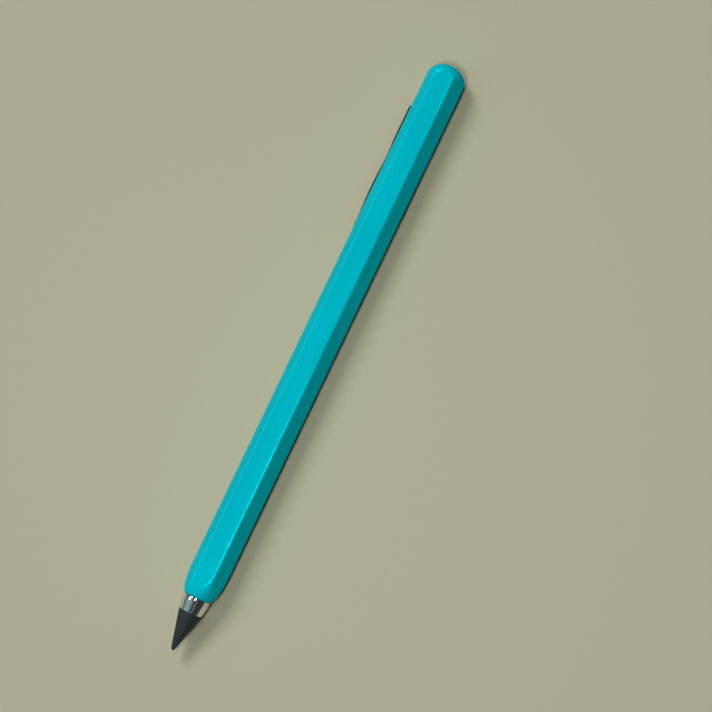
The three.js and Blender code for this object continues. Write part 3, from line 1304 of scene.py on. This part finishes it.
@dataclass
class NoseFittings:
    """The brass insert pressed into the nose and the rubber ring behind the collar."""

    layout: Layout
    thread: Thread
    thread_clearance: float = 0.1
    groove_width: float = 1.2
    groove_depth: float = 0.25
    chamfer: float = 0.12
    ring_hole_radius: float = 1.6
    ring_exponent: float = 2.6
    ring_rows: int = 48
    columns: int = 96
    rows_per_pitch: int = 12

    def build_insert(self) -> bpy.types.Object:
        """Makes the insert: a grooved outside, and the inner thread from end to end.

        It is a ring, so its rows close on themselves: out from the front over the outside to
        the back, and home along the thread.

        Returns:
            The insert's object.
        """
        front, back = self.layout.insert_front_x, self.layout.insert_back_x
        outer = self.layout.insert_radius
        middle = (front + back) / 2
        half = self.groove_width / 2
        groove = outer - self.groove_depth
        lead = self.thread.radius + self.thread_clearance + self.chamfer
        outside = polyline(
            (front, lead, 3),
            (front, outer - self.chamfer, 2),
            (front + self.chamfer, outer, 6),
            (middle - half, outer, 2),
            (middle - half, groove, 4),
            (middle + half, groove, 2),
            (middle + half, outer, 6),
            (back - self.chamfer, outer, 2),
            (back, outer - self.chamfer, 3),
            (back, lead, 0),
        )
        angle = full_turn(self.columns)
        rows = int((back - front) / self.thread.pitch * self.rows_per_pitch)
        x = np.linspace(back, front, rows)[:-1]
        bored = self.thread.surface(x[:, None], angle[None, :], front, self.thread_clearance)
        from_end = np.minimum(x - front, back - x)[:, None]
        bored = np.maximum(bored, lead - from_end)
        radius = np.concatenate([np.broadcast_to(outside[:, 1:], (len(outside), len(angle))), bored])
        return self.ring_piece("brass_insert", np.concatenate([outside[:, 0], x]), radius, 30.0)

    def build_seal(self) -> bpy.types.Object:
        """Makes the ring: its section is a superellipse, |u| ** p + |v| ** p = 1, in its box.

        Returns:
            The ring's object.
        """
        layout = self.layout
        angle = np.linspace(0.0, 2 * np.pi, self.ring_rows + 1)[:-1]
        power = 2 / self.ring_exponent
        sideways = np.sign(np.cos(angle)) * np.abs(np.cos(angle)) ** power
        upwards = np.sign(np.sin(angle)) * np.abs(np.sin(angle)) ** power
        middle_x = (layout.ring_front_x + layout.ring_back_x) / 2
        middle_radius = (self.ring_hole_radius + layout.ring_radius) / 2
        x = middle_x - sideways * (layout.ring_back_x - layout.ring_front_x) / 2
        radius = middle_radius + upwards * (layout.ring_radius - self.ring_hole_radius) / 2
        grid = np.broadcast_to(radius[:, None], (len(radius), self.columns))
        return self.ring_piece("rubber_seal", x, grid, 60.0)

    def ring_piece(self, name: str, x: np.ndarray, radius: np.ndarray, sharp: float) -> bpy.types.Object:
        """Makes a ring about the axis whose rows close on themselves.

        Args:
            name: Name of the object.
            x: Places along the axis, one per row.
            radius: Radii shaped (rows, columns).
            sharp: Angle in degrees above which an edge is shaded sharp.

        Returns:
            The ring's object.
        """
        points = turned_skin(x, radius, full_turn(self.columns), self.layout.axis_z).points
        faces = grid_quads(*points.shape[:2]).reshape(-1, 4).tolist()
        return mesh_piece(name, points.reshape(-1, 3), faces, sharp)


@dataclass
class PocketClip:
    """The flat sprung clip: a foot in the bore, a leg through the slot, and the arm over the facet."""

    layout: Layout
    thickness: float = 0.5
    width: float = 3.0
    tongue_width: float = 2.0
    bend_inside: float = 0.1
    foot_length: float = 2.8
    foot_outer: float = 2.1
    rise: float = 0.7
    dip: float = 0.45
    belly: float = 0.72
    touch: float = 0.3
    lip: float = 0.65
    shares: tuple[float, ...] = (0.26, 0.4, 0.68, 0.93, 1.0)
    length: float = 31.6
    tip_radius: float = 1.2
    foot_radius: float = 0.4
    edge_round: float = 0.1
    edge_limit: float = 0.98
    end_thinning: tuple[float, ...] = (0.72, 0.93)
    wear_margin: float = 1.05
    shoulder_rise: float = 0.3
    shoulder_run: float = 0.22
    facet_turn: float = -120.0
    arm_rows: int = 220
    bend_rows: int = 14
    corner_steps: int = 4
    side_steps: int = 5

    def middle_line(self) -> np.ndarray:
        """The sheet's middle line in X and the height over the axis, from the foot to the lip.

        A straight foot, a quarter arc at the heel, the leg, a quarter arc at the shoulder, and
        a Catmull-Rom spline through the arm's heights at the given shares of its length.

        Returns:
            Points shaped (count, 2).
        """
        half = self.thickness / 2
        bend = self.bend_inside + half
        leg_x = self.layout.clip_root_x - half
        foot_z = self.foot_outer - half
        arm_z = self.layout.half_flats + half
        heel = arc((leg_x - bend, foot_z + bend), bend, -90.0, 0.0, self.bend_rows)
        shoulder = arc((leg_x - bend, arm_z + self.rise - bend), bend, 0.0, 90.0, self.bend_rows)
        foot_end = (leg_x - self.foot_length, foot_z)
        heights = np.array([self.rise, self.dip, self.belly, self.touch, self.lip])
        places = self.layout.clip_root_x - np.array(self.shares) * self.length
        arm_x = np.concatenate([[shoulder[-1, 0]], places])
        arm_height = np.concatenate([[shoulder[-1, 1]], arm_z + heights])
        arm = catmull_rom(np.stack([arm_x, arm_height], axis=-1), self.arm_rows)
        foot = span(foot_end, heel[0], 10)
        leg = span(heel[-1], shoulder[0], 10)[1:]
        return np.concatenate([foot, heel, leg, shoulder[:-1], arm])

    def half_width(self, line: np.ndarray) -> np.ndarray:
        """Half the sheet's width along its middle line.

        The tongue's width holds up to the shoulders over the facet and the full width from
        there. The corners at the tip and at the foot are rounded.

        Args:
            line: The middle line.

        Returns:
            Half widths, one per point.
        """
        above = line[:, 1] - (self.layout.half_flats + self.shoulder_rise)
        share = smooth_step(above, 0.0, self.shoulder_run)
        base = (self.tongue_width + (self.width - self.tongue_width) * share) / 2
        step = np.linalg.norm(np.diff(line, axis=0), axis=1)
        run = np.concatenate([[0.0], np.cumsum(step)])
        tip = self.corner_cut(run[-1] - run, self.tip_radius)
        return base - tip - self.corner_cut(run, self.foot_radius)

    @staticmethod
    def corner_cut(distance: np.ndarray, radius: float) -> np.ndarray:
        """How much a rounded corner takes off each side: r - sqrt(r * r - (r - d) ** 2), d up to r."""
        inward = radius - np.clip(distance, 0.0, radius)
        return radius - np.sqrt(radius**2 - inward**2)

    def section(
        self, half_width: np.ndarray, half_thickness: np.ndarray
    ) -> tuple[np.ndarray, np.ndarray]:
        """A rectangle with rounded corners, turned once round, for each row.

        A corner's point is the corner circle's centre plus the radius times (cos, sin), and
        each side has further points between its corners.

        Args:
            half_width: Half widths, one per row.
            half_thickness: Half thicknesses, one per row.

        Returns:
            Places across the width and through the thickness, shaped (rows, columns).
        """
        turn = np.radians(np.linspace(0.0, 90.0, self.corner_steps + 1))
        signs = ((1.0, 1.0), (-1.0, 1.0), (-1.0, -1.0), (1.0, -1.0))
        across, through = [], []
        smallest = np.minimum(half_width, half_thickness)
        radius = np.minimum(self.edge_round, smallest * self.edge_limit)[:, None]
        for number, (side, face) in enumerate(signs):
            angle = turn + number * np.pi / 2
            centre_across = side * (half_width[:, None] - radius)
            centre_through = face * (half_thickness[:, None] - radius)
            across.append(centre_across + radius * np.cos(angle))
            through.append(centre_through + radius * np.sin(angle))
            if number % 2 == 0:
                share = np.linspace(0.0, 1.0, self.side_steps + 2)[1:-1]
                across.append(centre_across * (1 - 2 * share))
                through.append(np.broadcast_to(face * half_thickness[:, None], across[-1].shape))
        return np.concatenate(across, axis=1), np.concatenate(through, axis=1)

    def build(self) -> bpy.types.Object:
        """Sweeps the section along the middle line and turns the clip to its facet.

        Returns:
            The clip's object.
        """
        line = self.middle_line()
        ahead = np.gradient(line, axis=0)
        ahead /= np.linalg.norm(ahead, axis=1)[:, None]
        normal = np.stack([-ahead[:, 1], ahead[:, 0]], axis=-1)
        half_thickness = np.full(len(line), self.thickness / 2)
        half_thickness[:2] *= self.end_thinning
        half_thickness[-2:] *= self.end_thinning[::-1]
        half_width = self.half_width(line)
        across, through = self.section(half_width, half_thickness)
        x = line[:, :1] + normal[:, :1] * through
        height = line[:, 1:] + normal[:, 1:] * through
        turn = math.radians(self.facet_turn)
        y = across * math.cos(turn) - height * math.sin(turn)
        z = across * math.sin(turn) + height * math.cos(turn)
        points = np.stack([x, y, self.layout.axis_z + z], axis=-1)
        skin = Skin(points, points[0].mean(axis=0), points[-1].mean(axis=0))
        made = skin_piece("sprung_clip", skin, 40.0)
        # On the clip this edge mask is only wear of the black coat, with no painted highlight.
        wide = np.abs(across) > half_width[:, None] - self.edge_round * self.wear_margin
        set_attribute(made, "edge_wear_and_glint", wide.astype(float))
        return made


def catmull_rom(points: np.ndarray, steps: int) -> np.ndarray:
    """A Catmull-Rom spline through the points, its end tangents along the first and last stretch.

    Each stretch is the cubic with the two points' places and half the difference of their
    neighbours as tangents.

    Args:
        points: Points shaped (count, 2).
        steps: Number of steps over the whole spline.

    Returns:
        Points shaped (steps + 1, 2).
    """
    padded = np.concatenate([2 * points[:1] - points[1:2], points, 2 * points[-1:] - points[-2:-1]])
    place = np.linspace(0.0, len(points) - 1, steps + 1)
    number = np.minimum(place.astype(int), len(points) - 2)
    share = (place - number)[:, None]
    before, start, end, after = (padded[number + shift] for shift in range(4))
    leaving = (end - before) / 2
    arriving = (after - start) / 2
    cubic = 2 * (start - end) + leaving + arriving
    square = 3 * (end - start) - 2 * leaving - arriving
    return ((cubic * share + square) * share + leaving) * share + start


# Pencil


class Pencil:
    """Builds, dresses and mounts every piece of the pencil."""

    def __init__(self, frame: dict) -> None:
        """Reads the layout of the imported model.
        """
        self.nodes = frame["nodes"]
        self.layout = Layout.measured()
        self.thread = Thread()

    def mount(self, piece: bpy.types.Object, body: Body, node: str, finish: Finish) -> None:
        """Dresses a piece, rides it on its body and hides the node that it stands for.

        Args:
            piece: The new object.
            body: The body that carries it.
            node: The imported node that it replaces.
            finish: Its finish.
        """
        finish.dress(piece)
        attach(piece, body.value)
        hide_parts(node)
        faces = len(piece.data.polygons)
        LOG.info("%s: %d faces, on body %s, for node %s", piece.name, faces, body.value, node)

    def build(self) -> None:
        """Builds the pieces in the order in which the pencil is put together."""
        fittings = NoseFittings(self.layout, self.thread)
        nib = NibUnit(self.layout, self.thread)
        graphite = GraphiteComposite(tip_x=self.layout.tip_x)
        self.mount(Barrel(self.layout).build(), Body.BARREL, "barrel", TurquoiseLacquer())
        self.mount(fittings.build_insert(), Body.BARREL, "nose_insert", TurnedBrass())
        self.mount(fittings.build_seal(), Body.SEAL_RING, "seal_ring", BlackRubber())
        self.mount(nib.build_collar(), Body.NIB_UNIT, "nib_collar", ChromePlate())
        self.mount(nib.build_cone(), Body.NIB_UNIT, "nib_cone", graphite)
        self.mount(PocketClip(self.layout).build(), Body.POCKET_CLIP, "pocket_clip", BlackSpringSteel())
        NaturalNylon().dress(self.nodes["clip_lock_plug"])
        LOG.info("clip_lock_plug: packed node kept, with its own finish")


# Studio


@dataclass(frozen=True)
class Lamp:
    """A rectangular lamp, placed by its lean from straight above towards +Y and its place in X.

    Its length lies along the pencil and its width across it. Its share is how brightly it
    lights a facing surface, 1 being the surface's written colour.
    """

    name: str
    lean: float
    along: float
    distance: float
    length: float
    width: float
    share: float


LAMPS = (
    Lamp("nib_panel", lean=-3.0, along=-79.0, distance=450.0, length=105.0, width=52.0, share=0.38),
    Lamp("dome_panel", lean=-2.0, along=250.0, distance=1000.0, length=130.0, width=80.0, share=0.075),
    Lamp("dome_strip", lean=2.0, along=450.0, distance=1000.0, length=240.0, width=90.0, share=0.045),
    Lamp("side_window", lean=37.0, along=1260.0, distance=2800.0, length=1040.0, width=1060.0, share=0.65),
    Lamp("small_window", lean=42.0, along=-255.0, distance=1000.0, length=200.0, width=300.0, share=0.03),
    Lamp("far_strip", lean=-21.0, along=-300.0, distance=1000.0, length=500.0, width=70.0, share=0.004),
)


@dataclass
class Studio:
    """A pale floor, soft lamps and the camera at the photograph's viewing angle."""

    layout: Layout
    floor_size: float = 3200.0
    floor_drop: float = 0.05
    image_size: int = 712
    camera_distance: float = 475.0
    camera_tilt: float = 10.5
    pixels_per_mm: float = 4.312
    middle_pixel: tuple[float, float] = (312.4, 357.7)
    axis_direction: tuple[float, float] = (0.4322, 0.9018)
    room: Colour = (0.036, 0.045, 0.042)
    wall: Colour = (0.27, 0.41, 0.42)
    wall_lean: float = 42.0
    wall_along: float = -24.0
    wall_reach: float = 52.0
    backdrop: Colour = (0.47, 0.45, 0.32)
    backdrop_height: float = 0.25
    backdrop_share: float = 0.4
    sensor_width: float = 36.0
    aim_passes: int = 4
    clip_range: tuple[float, float] = (0.01, 20.0)

    def build_floor(self) -> None:
        """Lays the floor just under the pencil."""
        half = self.floor_size / 2
        signs = ((-1.0, -1.0), (1.0, -1.0), (1.0, 1.0), (-1.0, 1.0))
        corners = np.array([(half * x, half * y, -self.floor_drop) for x, y in signs])
        floor = mesh_piece("floor", corners, [(0, 1, 2, 3)])
        PaleFloor().dress(floor)

    def build_world(self) -> None:
        """A dim room with one pale wall that fades out softly, and a plain backdrop behind the floor.

        The wall's share at a direction is ((c - e) / (1 - e)) ** 2, where c is the cosine of the
        angle from the wall's middle and e that of its reach. The camera sees the backdrop all
        over, and metal sees it low over the floor.
        """
        world = bpy.data.worlds.new("studio")
        bpy.context.scene.world = world
        world.use_nodes = True
        graph = Graph(world.node_tree)
        lean, along = math.radians(self.wall_lean), math.radians(self.wall_along)
        middle = (math.sin(along), math.cos(along) * math.sin(lean), math.cos(along) * math.cos(lean))
        direction = graph.node("ShaderNodeTexCoord").outputs["Generated"]
        facing = graph.dot(direction, middle)
        edge = math.cos(math.radians(self.wall_reach))
        inside = (facing - edge) * (1.0 / (1.0 - edge))
        share = inside.maths("MAXIMUM", inside, 0.0)
        around = graph.blend(self.room, self.wall, share * share)
        rays = graph.node("ShaderNodeLightPath").outputs
        names = ("Is Camera Ray", "Is Glossy Ray", "Is Transmission Ray")
        camera, glossy, through = (Value(graph, rays[name]) for name in names)
        low = 1.0 - graph.dot(direction, (0.0, 0.0, 1.0)).ramp(0.0, self.backdrop_height)
        seen = camera + (glossy + through) * low * self.backdrop_share
        colour = graph.blend(around, self.backdrop, seen)
        background = graph.node("ShaderNodeBackground", {}, {"Color": colour})
        graph.node("ShaderNodeOutputWorld", {}, {"Surface": background.outputs[0]})

    def add_lamp(self, lamp: Lamp) -> None:
        """Hangs a rectangular lamp, turned towards the pencil's middle.

        A lamp of power P lights a facing surface at a distance d as P / (pi * d) ** 2 times a
        white sky would.

        Args:
            lamp: The lamp to hang.
        """
        light = bpy.data.lights.new(lamp.name, "AREA")
        light.shape = "RECTANGLE"
        light.size, light.size_y = lamp.length * MM, lamp.width * MM
        light.energy = lamp.share * (math.pi * lamp.distance * MM) ** 2
        made = bpy.data.objects.new(lamp.name, light)
        lean = math.radians(lamp.lean)
        place = Vector((lamp.along, lamp.distance * math.sin(lean), lamp.distance * math.cos(lean)))
        away = place.normalized()
        along = (Vector((1.0, 0.0, 0.0)) - away * away.x).normalized()
        turn = Matrix((along, away.cross(along), away)).transposed()
        made.matrix_world = Matrix.Translation(place * MM) @ turn.to_4x4()
        bpy.context.scene.collection.objects.link(made)

    def build_camera(self) -> None:
        """Places the camera by the pencil's middle, direction and scale in the photograph.

        The camera leans from straight above towards -Y. It is rolled so that +X runs the way
        that the pencil runs in the photograph, and aimed beside the pencil's middle so that
        this middle falls on its pixel.
        """
        camera = bpy.data.cameras.new("camera")
        focal_pixels = self.camera_distance * self.pixels_per_mm
        camera.sensor_width = self.sensor_width
        camera.lens = camera.sensor_width * focal_pixels / self.image_size
        tilt = math.radians(self.camera_tilt)
        middle = Vector((0.0, 0.0, self.layout.axis_z))
        place = middle + self.camera_distance * Vector((0.0, -math.sin(tilt), math.cos(tilt)))
        right_share, up_share = self.axis_direction
        offset_right = self.image_size / 2 - self.middle_pixel[0]
        offset_up = self.middle_pixel[1] - self.image_size / 2
        aim = middle.copy()
        for _ in range(self.aim_passes):
            back = (place - aim).normalized()
            along = (Vector((1.0, 0.0, 0.0)) - back * back.x).normalized()
            across = back.cross(along)
            right = right_share * along - up_share * across
            up = up_share * along + right_share * across
            depth = (place - middle).dot(back)
            aim = middle + (right * offset_right + up * offset_up) * (depth / focal_pixels)
        made = bpy.data.objects.new("camera", camera)
        turn = Matrix((right, up, back)).transposed().to_4x4()
        made.matrix_world = Matrix.Translation(place * MM) @ turn
        camera.clip_start, camera.clip_end = self.clip_range
        bpy.context.scene.collection.objects.link(made)
        bpy.context.scene.camera = made

    def build(self) -> None:
        """Builds the floor, the world, the lamps and the camera."""
        bpy.context.scene.view_settings.view_transform = "Standard"
        self.build_floor()
        self.build_world()
        for lamp in LAMPS:
            self.add_lamp(lamp)
        self.build_camera()


def main() -> None:
    """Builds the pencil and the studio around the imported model."""
    logging.basicConfig(level=logging.INFO, format="%(name)s %(message)s")
    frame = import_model()
    pencil = Pencil(frame)
    pencil.build()
    Studio(pencil.layout).build()


if __name__ == "__main__":
    main()
